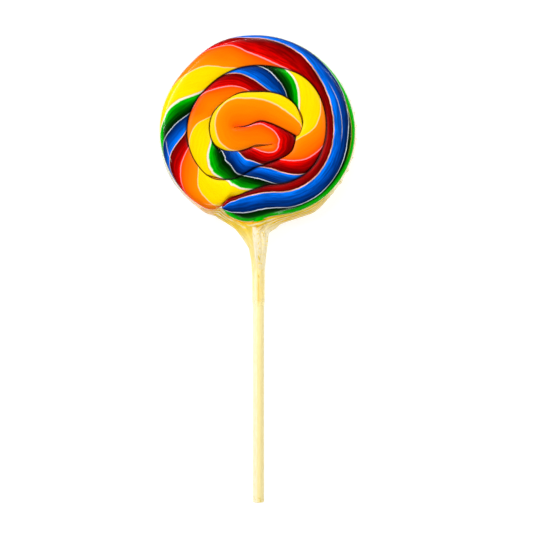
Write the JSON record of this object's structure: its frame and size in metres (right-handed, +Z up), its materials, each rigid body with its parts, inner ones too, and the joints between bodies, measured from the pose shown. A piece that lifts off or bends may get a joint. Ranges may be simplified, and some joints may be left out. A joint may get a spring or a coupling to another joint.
{
  "type": "swirl lollipop",
  "caption": "Rainbow swirl lollipop: a flat coiled disc of twisted hard candy on a paper stick, in clear film gathered below the disc.",
  "frame": {"origin": "under the middle of the disc, on the surface the lollipop lies on", "axes": "+Z up, the way the face looks as it lies; +Y to the top of the disc, away from the stick, whose foot points to -Y"},
  "size_m": [0.0763, 0.1823, 0.0078],
  "materials": {
    "candy": "glossy boiled sugar in red, orange, yellow, green and blue stripes with a cream line",
    "stick": "smooth rolled paper, ivory",
    "film": "thin clear glossy film, shrunk on and gathered in pleats"
  },
  "bodies": {
    "root": {"candy": "candy", "stick": "stick", "wrapper": "film"}
  },
  "joints": []
}
